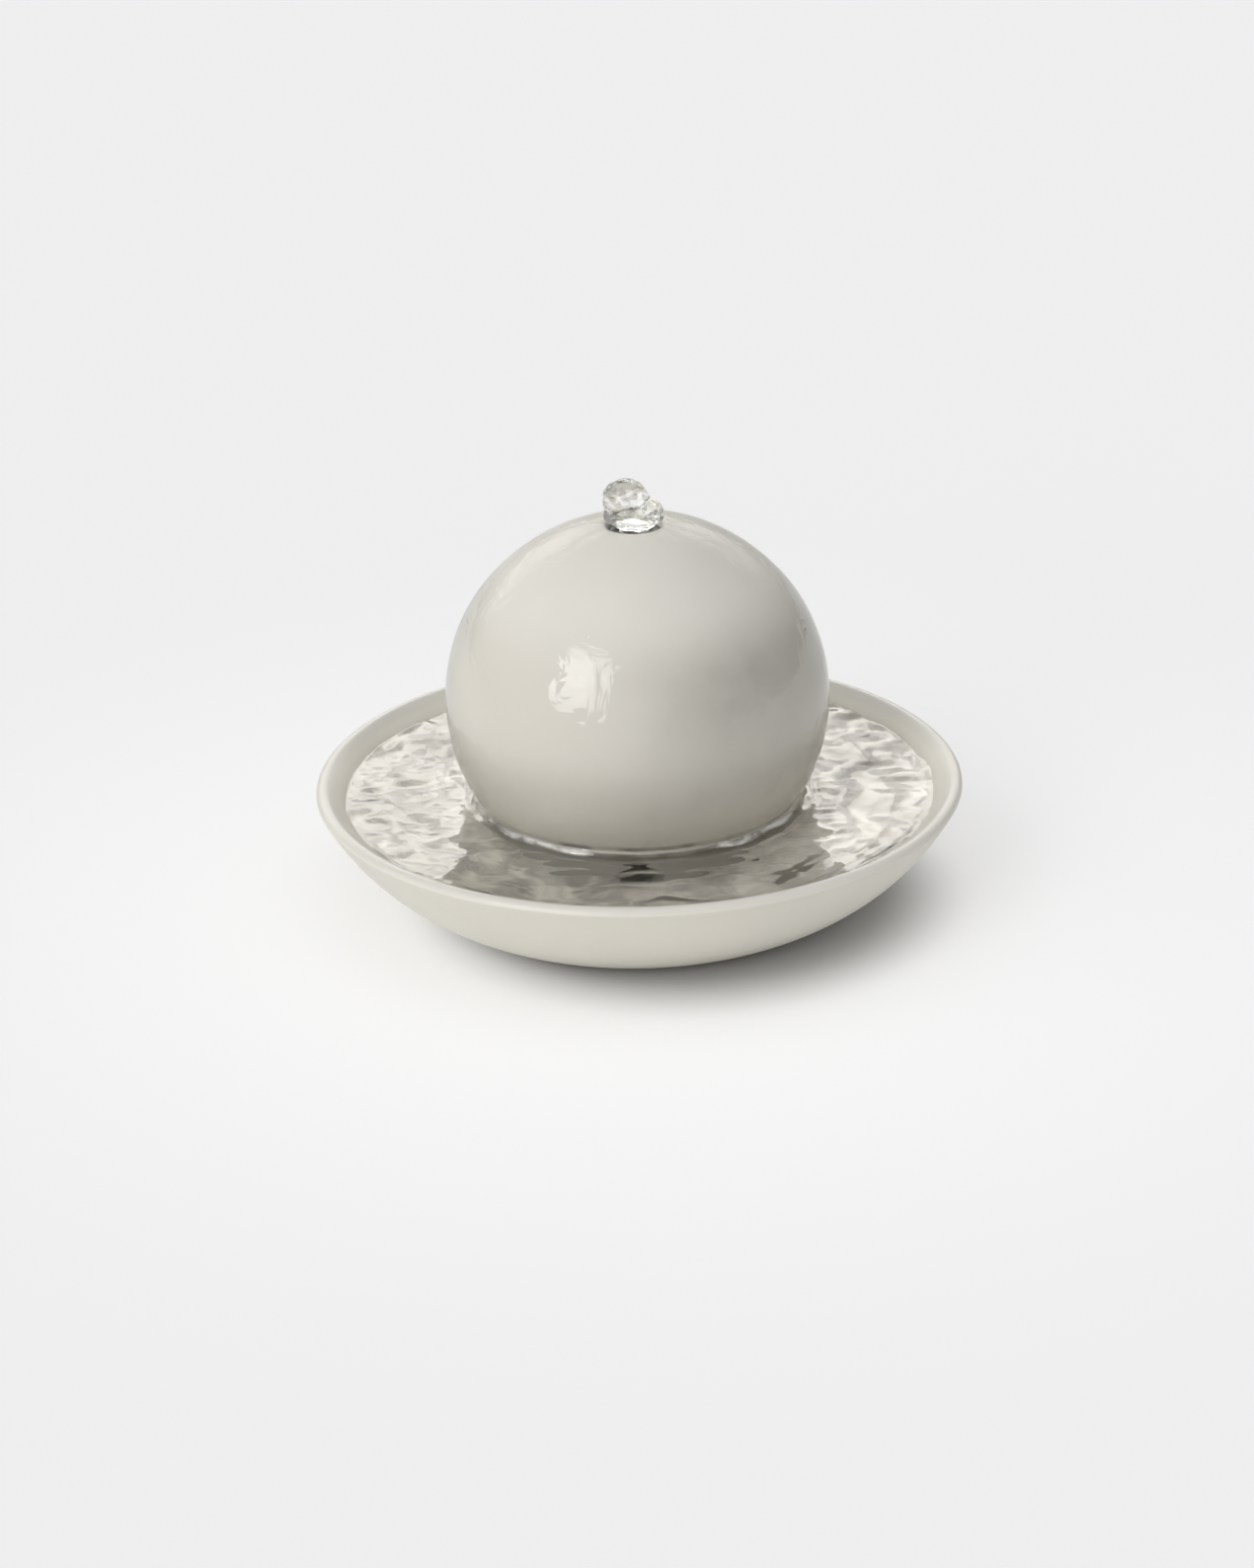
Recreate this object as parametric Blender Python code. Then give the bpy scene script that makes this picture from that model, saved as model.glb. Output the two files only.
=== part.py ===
"""Tabletop water fountain, in metres, +Z up, with its origin under the middle of the basin.

A hollow glazed ball stands on its collar in a shallow basin of water. Under the ball sits a small
submersible pump, which lifts the water through a riser tube to the hole in the ball's crown.
"""

import math

import bmesh
import bpy
from mathutils import Vector

# Driving dimensions.
BASIN_RADIUS = 0.127
BASIN_TOP = 0.0485
DOME_RADIUS = 0.0745
DOME_CENTRE = 0.0825
WATER_LEVEL = 0.0422
PUMP_AXIS = 0.025

# Gap between two pieces that touch, and how far a cutter runs past the wall that it opens.
GAP = 0.0003
OVERSHOOT = 0.0004

# Basin.
PAD_HEIGHT = 0.0009
PAD_RADIUS = 0.0048
FOOT_BOTTOM = PAD_HEIGHT + GAP
FOOT_INNER = 0.066
FOOT_OUTER = 0.077
FOOT_RECESS = 0.0032
PAD_CIRCLE = (FOOT_INNER + FOOT_OUTER) / 2
BASIN_FLOOR = 0.008
BASIN_FLOOR_RADIUS = 0.070
LIP_WIDTH = 0.0060
LIP_HEIGHT = 0.0026
WALL_BULGE = 0.0060

# Ball: round below its middle, a little flatter above it, on a straight collar.
DOME_WALL = 0.0052
DOME_CROWN = 0.0722
DOME_HOLE = 0.0100
DOME_HOLE_EDGE = 0.0135
COLLAR_OUTER = 0.0535
COLLAR_INNER = 0.0485
COLLAR_BOTTOM = BASIN_FLOOR + GAP
ARCH_WIDTH = 0.016
ARCH_HEIGHT = 0.014

# Riser tube and the grommet that centres it in the hole.
TUBE_INNER = 0.0046
TUBE_OUTER = 0.0060
TUBE_TOP = 0.1505
GROMMET_INNER = TUBE_OUTER + GAP
GROMMET_OUTER = DOME_HOLE - GAP
GROMMET_FLANGE = 0.013
GROMMET_TOP = 0.1515
GROMMET_BOTTOM = 0.1456
GROMMET_STEP = 0.1474

# Pump body: two blocks of one outline, joined face to face.
PUMP_HALF_WIDTH = 0.017
PUMP_BOTTOM = 0.0133
PUMP_TOP = 0.0373
PUMP_SECTION = (PUMP_HALF_WIDTH, PUMP_BOTTOM, PUMP_TOP)
PUMP_CORNER = 0.004
PUMP_SHELL = 0.0016
JOINT_FACE = 0.005
HOUSING_FRONT = JOINT_FACE + GAP
HOUSING_BACK = 0.030
MOTOR_CAVITY_FRONT = 0.008
CHAMBER_FRONT = -0.005
CHAMBER_WALL = -0.0036
CHAMBER_RADIUS = 0.0086
INLET_RADIUS = 0.0021
INLET_CIRCLE = 0.0058
BUSH_SEAT = 0.0022
SEAL_RADIUS = 0.0102
SEAL_THICKNESS = 0.0012
GROOVE_DEPTH = 0.0015
GROOVE_HALF_WIDTH = 0.0009
SPIGOT_RADIUS = 0.0042
SPIGOT_BORE = 0.0028
SPIGOT_TOP = 0.048

# Rotor and what it turns on.
SHAFT_RADIUS = 0.0010
SHAFT_FRONT = -0.0046
SHAFT_BACK = 0.0179
RUNNING_BORE = SHAFT_RADIUS + 0.00015
WELL_RADIUS = 0.0062
WELL_WALL = 0.0012
WELL_END = 0.0182
MAGNET_RADIUS = 0.0057
IMPELLER_RADIUS = 0.0074
BLADE_THICKNESS = 0.0010
MAGNET_FRONT = 0.0063
MAGNET_BACK = 0.0160
HUB_RADIUS = 0.0027
HUB_FRONT = -0.0031
HUB_BACK = 0.0060
DISC_FRONT = 0.0022
DISC_BACK = 0.0034

# Motor: a U of steel with the winding on its yoke, closed in by resin with the cable's gland.
LEG_INNER = 0.0080
LEG_OUTER = 0.0120
CORE_FRONT = 0.0086
YOKE_FRONT = 0.0215
YOKE_BACK = 0.0260
CORE_HALF_HEIGHT = 0.0050
COIL_HALF_WIDTH = 0.0074
COIL_HALF_HEIGHT = 0.0085
COIL_FRONT = 0.0198
COIL_BACK = 0.0273
PLUG_FRONT = 0.0278
PLUG_BACK = HOUSING_BACK - 0.0002
GLAND_HOLE = 0.0033
GLAND_END = 0.0400

# Strainer on the pump's front, with its flow dial.
STRAINER_FRONT = -0.0175
STRAINER_BACK = CHAMBER_FRONT - GAP
STRAINER_HALF_WIDTH = 0.0165
STRAINER_BOTTOM = 0.0140
STRAINER_TOP = 0.0366
STRAINER_SECTION = (STRAINER_HALF_WIDTH, STRAINER_BOTTOM, STRAINER_TOP)
STRAINER_CORNER = 0.0038
STRAINER_WALL = 0.0015
DIAL_RADIUS = 0.0080
DIAL_BACK = STRAINER_FRONT - GAP
DIAL_FRONT = -0.0203
DIAL_GRIP = 0.0017
PORT_RADIUS = 0.0017
PORT_CIRCLE = 0.0050
PIVOT_RADIUS = 0.0015
SLOT_PLACES = (-0.0128, -0.0100, 0.0100, 0.0128)
SLOT_HALF_WIDTH = 0.0007
SLOT_BOTTOM = 0.0185
SLOT_TOP = 0.0320

# Suction cups under the pump.
CUP_RADIUS = 0.0058
CUP_X = 0.011
CUP_ROWS = (0.0, 0.024)
SOCKET_RADIUS = 0.0021
SOCKET_DEPTH = 0.0008

# Spring of water on the crown: its neck, then (x, y, z, radius) of its two lobes.
NECK_RADIUS = 0.0080
NECK_TOP = 0.1580
LOBES = ((-0.0030, 0.0, 0.1628, 0.0086), (0.0038, -0.0005, 0.1583, 0.0072))

# Sides of a full turn.
BASIN_SIDES = 64
SMALL_SIDES = 24
TINY_SIDES = 16

ALONG_PUMP = (-math.pi / 2, 0.0, 0.0)


def clear_scene():
    for obj in list(bpy.data.objects):
        bpy.data.objects.remove(obj, do_unlink=True)


def finish(name, colour, roughness, metallic=0.0, alpha=1.0):
    """A plain Principled material."""
    material = bpy.data.materials.new(name)
    material.use_nodes = True
    shader = material.node_tree.nodes["Principled BSDF"]
    shader.inputs["Base Color"].default_value = (*colour, 1.0)
    shader.inputs["Roughness"].default_value = roughness
    shader.inputs["Metallic"].default_value = metallic
    shader.inputs["Alpha"].default_value = alpha
    return material


def add_object(name, shape, material=None):
    """Turns a bmesh into an object of the scene, shaded smooth between its sharp edges."""
    bmesh.ops.recalc_face_normals(shape, faces=shape.faces[:])
    mesh = bpy.data.meshes.new(name)
    shape.to_mesh(mesh)
    shape.free()
    mesh.shade_smooth()
    mesh.set_sharp_from_angle(angle=math.radians(35))
    if material:
        mesh.materials.append(material)
    obj = bpy.data.objects.new(name, mesh)
    bpy.context.scene.collection.objects.link(obj)
    return obj


def turned(name, outline, material=None, sides=SMALL_SIDES):
    """A solid turned about Z. The outline holds (radius, height) points and closes on itself."""
    shape = bmesh.new()
    points = [shape.verts.new((radius, 0.0, height)) for radius, height in outline]
    edges = [shape.edges.new(pair) for pair in zip(points, points[1:])]
    if outline[0][0] > 0 or outline[-1][0] > 0:
        edges.append(shape.edges.new((points[-1], points[0])))
    bmesh.ops.spin(
        shape, geom=points + edges, cent=(0, 0, 0), axis=(0, 0, 1), angle=math.tau, steps=sides
    )
    bmesh.ops.remove_doubles(shape, verts=shape.verts[:], dist=1e-6)
    return add_object(name, shape, material)


def turned_on_pump_axis(name, outline, material=None, sides=SMALL_SIDES):
    """A solid turned about the pump's axis. Heights in the outline are then places along +Y."""
    obj = turned(name, outline, material, sides)
    obj.rotation_euler = ALONG_PUMP
    obj.location = (0.0, 0.0, PUMP_AXIS)
    return obj


def prism(name, outline, push, material=None):
    """A flat outline of 3-D points, pushed along a vector into a solid."""
    shape = bmesh.new()
    face = shape.faces.new([shape.verts.new(point) for point in outline])
    pushed = bmesh.ops.extrude_face_region(shape, geom=[face])["geom"]
    moved = [part for part in pushed if isinstance(part, bmesh.types.BMVert)]
    bmesh.ops.translate(shape, verts=moved, vec=Vector(push))
    return add_object(name, shape, material)


def block(name, low, high, material=None):
    """A box between two corners."""
    outline = [(low[0], low[1], low[2]), (high[0], low[1], low[2])]
    outline += [(high[0], low[1], high[2]), (low[0], low[1], high[2])]
    return prism(name, outline, (0.0, high[1] - low[1], 0.0), material)


def rounded_bar(name, half_width, bottom, top, front, back, corner, material=None):
    """A bar along Y whose cross-section is a rectangle with round corners."""
    outline = []
    for side_x, side_z, start in ((1, 1, 0), (-1, 1, 90), (-1, -1, 180), (1, -1, 270)):
        centre_x = side_x * (half_width - corner)
        centre_z = (top - corner) if side_z > 0 else (bottom + corner)
        for step in range(4):
            angle = math.radians(start + 30 * step)
            x = centre_x + corner * math.cos(angle)
            outline.append((x, front, centre_z + corner * math.sin(angle)))
    return prism(name, outline, (0.0, back - front, 0.0), material)


def rod(name, start, end, radius, sides=SMALL_SIDES):
    """A round bar between two points, as a cutter."""
    start, along = Vector(start), Vector(end) - Vector(start)
    reach = along.length
    obj = turned(name, [(0.0, 0.0), (radius, 0.0), (radius, reach), (0.0, reach)], None, sides)
    obj.location = start
    obj.rotation_euler = Vector((0, 0, 1)).rotation_difference(along).to_euler()
    return obj


def axis_rod(name, front, back, radius, sides=SMALL_SIDES):
    """A round bar on the pump's axis, between two places along Y."""
    return rod(name, (0.0, front, PUMP_AXIS), (0.0, back, PUMP_AXIS), radius, sides)


def inset_section(section, distance):
    """A bar's (half width, bottom, top), made smaller all round."""
    half_width, bottom, top = section
    return half_width - distance, bottom + distance, top - distance


def boolean(target, other, operation):
    """Cuts or joins with another mesh, which then stays in the scene as a hidden helper."""
    modifier = target.modifiers.new(other.name, "BOOLEAN")
    modifier.operation = operation
    modifier.object = other
    modifier.solver = "EXACT"
    other.hide_render = True
    other.display_type = "WIRE"


def cut(target, *cutters):
    for cutter in cutters:
        boolean(target, cutter, "DIFFERENCE")


def join(target, *others):
    for other in others:
        boolean(target, other, "UNION")


def ring_of_holes(target, front, back, circle, radius, start=0):
    """Four round holes about the pump's axis, through a wall between two places along Y."""
    for number in range(4):
        angle = math.radians(start + 90 * number)
        x, z = circle * math.cos(angle), PUMP_AXIS + circle * math.sin(angle)
        cut(target, rod("hole_cutter", (x, front, z), (x, back, z), radius, TINY_SIDES))


def bezier(points, steps):
    """Points along a Bezier curve of any degree, with both ends, given its control points."""
    degree = len(points) - 1
    curve = []
    for step in range(steps + 1):
        t = step / steps
        weights = [math.comb(degree, i) * t**i * (1 - t) ** (degree - i) for i in range(degree + 1)]
        curve.append(tuple(sum(w * point[axis] for w, point in zip(weights, points)) for axis in (0, 1)))
    return curve


def moved_left(curve, distance):
    """A (radius, height) curve moved sideways, to the left of its own direction."""
    moved = []
    for index, (radius, height) in enumerate(curve):
        before = curve[max(index - 1, 0)]
        after = curve[min(index + 1, len(curve) - 1)]
        run, rise = after[0] - before[0], after[1] - before[1]
        scale = distance / math.hypot(run, rise)
        moved.append((radius - rise * scale, height + run * scale))
    return moved


def ball_curve(inset, lowest, highest, steps):
    """The ball's side as (radius, height) points, from one angle above its middle to another."""
    curve = []
    for step in range(steps + 1):
        angle = lowest + (highest - lowest) * step / steps
        upright = (DOME_CROWN if angle > 0 else DOME_RADIUS) - inset
        curve.append(((DOME_RADIUS - inset) * math.cos(angle), DOME_CENTRE + upright * math.sin(angle)))
    return curve


def ball_angle(radius, inset, above=True):
    """The angle above the ball's middle where its side has this radius, or the same below it."""
    angle = math.acos(radius / (DOME_RADIUS - inset))
    return angle if above else -angle


def basin_outer_wall(steps=9):
    """From the foot up to the lip, with a soft outward bulge."""
    foot, lip = (FOOT_OUTER, FOOT_BOTTOM), (BASIN_RADIUS, BASIN_TOP - LIP_HEIGHT)
    run, rise = lip[0] - foot[0], lip[1] - foot[1]
    length = math.hypot(run, rise)
    wall = []
    for step in range(steps + 1):
        t = step / steps
        bulge = WALL_BULGE * 4 * t * (1 - t) / length
        wall.append((foot[0] + run * t + rise * bulge, foot[1] + rise * t - run * bulge))
    return wall


def basin_lip(steps=6):
    """The round lip, from its outer side over the top to the start of the inner wall."""
    centre = BASIN_RADIUS - LIP_WIDTH / 2
    lip = []
    for step in range(1, steps + 1):
        angle = math.radians(150) * step / steps
        radius = centre + LIP_WIDTH / 2 * math.cos(angle)
        lip.append((radius, BASIN_TOP - LIP_HEIGHT + LIP_HEIGHT * math.sin(angle)))
    return lip


def basin_inner_wall(steps=10):
    """From the lip down to the floor: a bevelled rim, then a steeper side that eases into the floor."""
    top = basin_lip()[-1]
    controls = [top, (0.1050, 0.0380), (0.1000, BASIN_FLOOR + 0.0005), (BASIN_FLOOR_RADIUS, BASIN_FLOOR)]
    return bezier(controls, steps)


def make_basin(material):
    underside = [(0.0, FOOT_RECESS), (FOOT_INNER - 0.002, FOOT_RECESS), (FOOT_INNER, FOOT_BOTTOM)]
    outline = basin_outer_wall() + basin_lip() + basin_inner_wall()[1:]
    outline += [(0.0, BASIN_FLOOR)] + underside
    return turned("basin", outline, material, BASIN_SIDES)


def make_foot_pads(material):
    for number in range(4):
        angle = math.radians(45 + 90 * number)
        outline = [(0.0, 0.0), (PAD_RADIUS, 0.0), (PAD_RADIUS, PAD_HEIGHT), (0.0, PAD_HEIGHT)]
        pad = turned(f"foot_pad_{number + 1}", outline, material)
        pad.location = (PAD_CIRCLE * math.cos(angle), PAD_CIRCLE * math.sin(angle), 0.0)


def inlet_arch(name, turn):
    """A tunnel with a round top, right through the collar from side to side."""
    half, reach = ARCH_WIDTH / 2, COLLAR_OUTER + 0.0065
    low, straight = COLLAR_BOTTOM - 0.002, COLLAR_BOTTOM + ARCH_HEIGHT - half
    outline = [(-half, -reach, low), (half, -reach, low)]
    for step in range(7):
        angle = math.pi * step / 6
        outline.append((half * math.cos(angle), -reach, straight + half * math.sin(angle)))
    arch = prism(name, outline, (0.0, 2 * reach, 0.0))
    arch.rotation_euler.z = turn
    return arch


def make_dome(material):
    chamfer = 0.0008
    outer = ball_curve(0.0, ball_angle(COLLAR_OUTER, 0.0, False), ball_angle(DOME_HOLE_EDGE, 0.0), 15)
    hole, collar = ball_angle(DOME_HOLE, DOME_WALL), ball_angle(COLLAR_INNER, DOME_WALL, False)
    inner = ball_curve(DOME_WALL, hole, collar, 10)
    edge_top = outer[-1]
    edge = bezier([edge_top, (DOME_HOLE, edge_top[1] + 0.0006), (DOME_HOLE, edge_top[1] - 0.0027)], 4)
    foot = [(COLLAR_INNER, COLLAR_BOTTOM), (COLLAR_OUTER - chamfer, COLLAR_BOTTOM)]
    foot += [(COLLAR_OUTER, COLLAR_BOTTOM + chamfer)]
    dome = turned("dome", foot + outer + edge[1:] + inner, material, BASIN_SIDES)
    cut(dome, inlet_arch("arch_front_back", 0.0), inlet_arch("arch_sides", math.pi / 2))


def make_grommet(material):
    outline = [(GROMMET_INNER, GROMMET_BOTTOM), (GROMMET_FLANGE, GROMMET_BOTTOM)]
    outline += [(GROMMET_FLANGE, GROMMET_STEP), (GROMMET_OUTER, GROMMET_STEP)]
    outline += [(GROMMET_OUTER, GROMMET_TOP), (GROMMET_INNER, GROMMET_TOP)]
    turned("outlet_grommet", outline, material)


def make_riser_tube(material):
    bottom = PUMP_TOP + GAP
    outline = [(TUBE_INNER, bottom), (TUBE_OUTER, bottom), (TUBE_OUTER, TUBE_TOP), (TUBE_INNER, TUBE_TOP)]
    turned("riser_tube", outline, material)


def cup_socket(x, y):
    """The blind hole in the pump's underside that a suction cup's stud snaps into."""
    top = PUMP_BOTTOM + SOCKET_DEPTH
    return rod("socket_cutter", (x, y, PUMP_BOTTOM - OVERSHOOT), (x, y, top), SOCKET_RADIUS, TINY_SIDES)


def make_pump_housing(material):
    """The motor's shell: a blind well for the rotor at the front, a cavity for the coil behind."""
    housing = rounded_bar(
        "pump_housing", *PUMP_SECTION, HOUSING_FRONT, HOUSING_BACK, PUMP_CORNER, material
    )
    cavity = rounded_bar(
        "cavity_cutter", *inset_section(PUMP_SECTION, PUMP_SHELL),
        MOTOR_CAVITY_FRONT, HOUSING_BACK + OVERSHOOT, PUMP_CORNER - PUMP_SHELL,
    )
    middle = (HOUSING_FRONT + MOTOR_CAVITY_FRONT) / 2
    tube = axis_rod("well_wall", middle, WELL_END + WELL_WALL, WELL_RADIUS + WELL_WALL)
    well = axis_rod("well_cutter", HOUSING_FRONT - OVERSHOOT, WELL_END, WELL_RADIUS)
    cut(housing, cavity)
    join(housing, tube)
    cut(housing, well, *(cup_socket(side * CUP_X, CUP_ROWS[1]) for side in (-1, 1)))


def make_chamber_cover(material):
    """The pump's front half: the impeller's chamber, four inlets and the outlet spigot on top."""
    cover = rounded_bar(
        "chamber_cover", *PUMP_SECTION, CHAMBER_FRONT, JOINT_FACE, PUMP_CORNER, material
    )
    sunk = PUMP_TOP - 0.0010
    outline = [(0.0, sunk), (SPIGOT_RADIUS, sunk), (SPIGOT_RADIUS, SPIGOT_TOP - 0.001)]
    outline += [(SPIGOT_RADIUS - 0.0006, SPIGOT_TOP), (0.0, SPIGOT_TOP)]
    join(cover, turned("spigot", outline))
    past = JOINT_FACE + OVERSHOOT
    chamber = axis_rod("chamber_cutter", CHAMBER_WALL, past, CHAMBER_RADIUS)
    in_chamber = PUMP_AXIS + CHAMBER_RADIUS / 2
    bore = rod("spigot_cutter", (0.0, 0.0, in_chamber), (0.0, 0.0, SPIGOT_TOP + OVERSHOOT), SPIGOT_BORE)
    inner, outer = SEAL_RADIUS - GROOVE_HALF_WIDTH, SEAL_RADIUS + GROOVE_HALF_WIDTH
    bottom = JOINT_FACE - GROOVE_DEPTH
    outline = [(inner, bottom), (outer, bottom), (outer, past), (inner, past)]
    groove = turned_on_pump_axis("groove_cutter", outline)
    front, back = CHAMBER_FRONT - OVERSHOOT, CHAMBER_WALL + OVERSHOOT
    seat = axis_rod("bush_cutter", front, back, BUSH_SEAT, TINY_SIDES)
    cut(cover, chamber, bore, groove, seat)
    ring_of_holes(cover, front, back, INLET_CIRCLE, INLET_RADIUS, 45)
    cut(cover, *(cup_socket(side * CUP_X, CUP_ROWS[0]) for side in (-1, 1)))


def make_chamber_seal(material):
    """The O-ring in the joint between the pump's two halves."""
    half, place = SEAL_THICKNESS / 2, JOINT_FACE - GROOVE_DEPTH / 2 + 0.0001
    outline = []
    for step in range(8):
        angle = math.tau * step / 8
        outline.append((SEAL_RADIUS + half * math.cos(angle), place + half * math.sin(angle)))
    turned_on_pump_axis("chamber_seal", outline, material)


def make_stator_core(material):
    """A U of laminated steel: two legs beside the rotor's well and a yoke behind it."""
    places = [(-LEG_OUTER, CORE_FRONT), (-LEG_INNER, CORE_FRONT), (-LEG_INNER, YOKE_FRONT)]
    places += [(LEG_INNER, YOKE_FRONT), (LEG_INNER, CORE_FRONT), (LEG_OUTER, CORE_FRONT)]
    places += [(LEG_OUTER, YOKE_BACK), (-LEG_OUTER, YOKE_BACK)]
    outline = [(x, y, PUMP_AXIS - CORE_HALF_HEIGHT) for x, y in places]
    prism("stator_core", outline, (0.0, 0.0, 2 * CORE_HALF_HEIGHT), material)


def make_coil(material):
    """The winding on the yoke between the legs."""
    half_width, half_height = COIL_HALF_WIDTH, COIL_HALF_HEIGHT
    low = (-half_width, COIL_FRONT, PUMP_AXIS - half_height)
    high = (half_width, COIL_BACK, PUMP_AXIS + half_height)
    coil = block("coil", low, high, material)
    half_width, half_height = COIL_HALF_WIDTH + OVERSHOOT, CORE_HALF_HEIGHT + GAP
    low = (-half_width, YOKE_FRONT - GAP, PUMP_AXIS - half_height)
    high = (half_width, YOKE_BACK + GAP, PUMP_AXIS + half_height)
    cut(coil, block("yoke_cutter", low, high))


def make_potting_plug(material):
    """The cast resin that closes the motor's back, with a hole for the cable's gland."""
    inset = PUMP_SHELL + GAP
    plug = rounded_bar(
        "potting_plug", *inset_section(PUMP_SECTION, inset),
        PLUG_FRONT, PLUG_BACK, PUMP_CORNER - inset, material,
    )
    cut(plug, axis_rod("gland_cutter", PLUG_FRONT - OVERSHOOT, PLUG_BACK + OVERSHOOT, GLAND_HOLE))


def make_cable_gland(material):
    """The tapered outlet for the pump's cable, with an empty bore."""
    root, collar_front, collar_back = PLUG_FRONT + 0.0002, HOUSING_BACK + GAP, HOUSING_BACK + 0.0016
    barrel, bore = GLAND_HOLE - GAP, 0.0015
    outline = [(0.0, root), (barrel, root), (barrel, collar_front), (0.0040, collar_front)]
    outline += [(0.0040, collar_back), (0.0028, collar_back + 0.0006), (0.0023, GLAND_END)]
    outline += [(bore, GLAND_END), (bore, HOUSING_BACK + 0.0010), (0.0, HOUSING_BACK + 0.0010)]
    turned_on_pump_axis("cable_gland", outline, material, TINY_SIDES)


def make_rotor(magnet_material, impeller_material):
    """The magnet in its well and the impeller in front of it, which turn together on the shaft."""
    outline = [(RUNNING_BORE, MAGNET_FRONT), (MAGNET_RADIUS, MAGNET_FRONT)]
    outline += [(MAGNET_RADIUS, MAGNET_BACK), (RUNNING_BORE, MAGNET_BACK)]
    turned_on_pump_axis("rotor_magnet", outline, magnet_material)
    outline = [(0.0, HUB_FRONT), (HUB_RADIUS, HUB_FRONT), (HUB_RADIUS, DISC_FRONT)]
    outline += [(IMPELLER_RADIUS, DISC_FRONT), (IMPELLER_RADIUS, DISC_BACK)]
    outline += [(HUB_RADIUS, DISC_BACK), (HUB_RADIUS, HUB_BACK), (0.0, HUB_BACK)]
    impeller = turned_on_pump_axis("impeller", outline, impeller_material)
    reach, half = IMPELLER_RADIUS - 0.0003, BLADE_THICKNESS / 2
    low, high = (-reach, HUB_FRONT + 0.0003, -half), (reach, DISC_FRONT + 0.0006, half)
    for number in range(2):
        blade = block("blade_pair", low, high)
        blade.location.z = PUMP_AXIS
        blade.rotation_euler.y = math.radians(45 + 90 * number)
        join(impeller, blade)
    cut(impeller, axis_rod("bore_cutter", HUB_FRONT - OVERSHOOT, HUB_BACK + OVERSHOOT, RUNNING_BORE))


def make_shaft_and_bushes(shaft_material, bush_material):
    outline = [(0.0, SHAFT_FRONT), (SHAFT_RADIUS, SHAFT_FRONT)]
    outline += [(SHAFT_RADIUS, SHAFT_BACK), (0.0, SHAFT_BACK)]
    turned_on_pump_axis("impeller_shaft", outline, shaft_material)
    hole = SHAFT_RADIUS + GAP
    for name, outer, front, back in (
        ("front_bush", 0.0019, CHAMBER_FRONT, -0.0035),
        ("rear_bush", 0.0026, 0.0164, SHAFT_BACK),
    ):
        outline = [(hole, front), (outer, front), (outer, back), (hole, back)]
        turned_on_pump_axis(name, outline, bush_material)


def make_strainer(cover_material, sponge_material):
    """The slotted cover that clips on the pump's front, with the sponge inside it."""
    wall = STRAINER_WALL
    cover = rounded_bar(
        "strainer_cover", *STRAINER_SECTION, STRAINER_FRONT, STRAINER_BACK, STRAINER_CORNER, cover_material
    )
    cavity = rounded_bar(
        "sponge_cutter", *inset_section(STRAINER_SECTION, wall),
        STRAINER_FRONT + wall, STRAINER_BACK + OVERSHOOT, STRAINER_CORNER - wall,
    )
    front, back = STRAINER_FRONT - OVERSHOOT, STRAINER_FRONT + wall + OVERSHOOT
    cut(cover, cavity, axis_rod("pivot_cutter", front, back, PIVOT_RADIUS + GAP, TINY_SIDES))
    ring_of_holes(cover, front, back, PORT_CIRCLE, PORT_RADIUS)
    for x in SLOT_PLACES:
        low, high = (x - SLOT_HALF_WIDTH, front, SLOT_BOTTOM), (x + SLOT_HALF_WIDTH, back, SLOT_TOP)
        cut(cover, block("slot_cutter", low, high))
    inset = wall + GAP
    rounded_bar(
        "filter_sponge", *inset_section(STRAINER_SECTION, inset),
        STRAINER_FRONT + inset, STRAINER_BACK - GAP, STRAINER_CORNER - inset, sponge_material,
    )


def make_flow_dial(material):
    """The dial on the strainer's front. A part of a turn moves its ports off the cover's."""
    pivot_end = STRAINER_FRONT + STRAINER_WALL - 0.0002
    outline = [(0.0, DIAL_FRONT), (DIAL_RADIUS, DIAL_FRONT), (DIAL_RADIUS, DIAL_BACK)]
    outline += [(PIVOT_RADIUS, DIAL_BACK), (PIVOT_RADIUS, pivot_end), (0.0, pivot_end)]
    dial = turned_on_pump_axis("flow_dial", outline, material)
    ring_of_holes(dial, DIAL_FRONT - OVERSHOOT, DIAL_BACK + OVERSHOOT, PORT_CIRCLE, PORT_RADIUS)
    reach, half = DIAL_RADIUS - 0.0010, 0.0008
    grip = block("grip", (-reach, DIAL_FRONT - DIAL_GRIP, -half), (reach, DIAL_FRONT + 0.0006, half))
    grip.location.z = PUMP_AXIS
    grip.rotation_euler.y = math.radians(45)
    join(dial, grip)


def make_suction_cups(material):
    top, seat = PUMP_BOTTOM - GAP, BASIN_FLOOR + GAP
    stud, neck, stud_top = SOCKET_RADIUS - GAP, 0.0030, PUMP_BOTTOM + SOCKET_DEPTH - GAP
    outline = [(0.0, stud_top), (stud, stud_top), (stud, top), (neck, top), (neck, top - 0.0014)]
    outline += [(CUP_RADIUS, seat + 0.0006), (CUP_RADIUS, seat), (CUP_RADIUS - 0.0008, seat)]
    outline += [(0.0020, seat + 0.0021), (0.0, seat + 0.0025)]
    number = 1
    for y in CUP_ROWS:
        for side in (-1, 1):
            cup = turned(f"suction_cup_{number}", outline, material, TINY_SIDES)
            cup.location = (side * CUP_X, y, 0.0)
            number += 1


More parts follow.
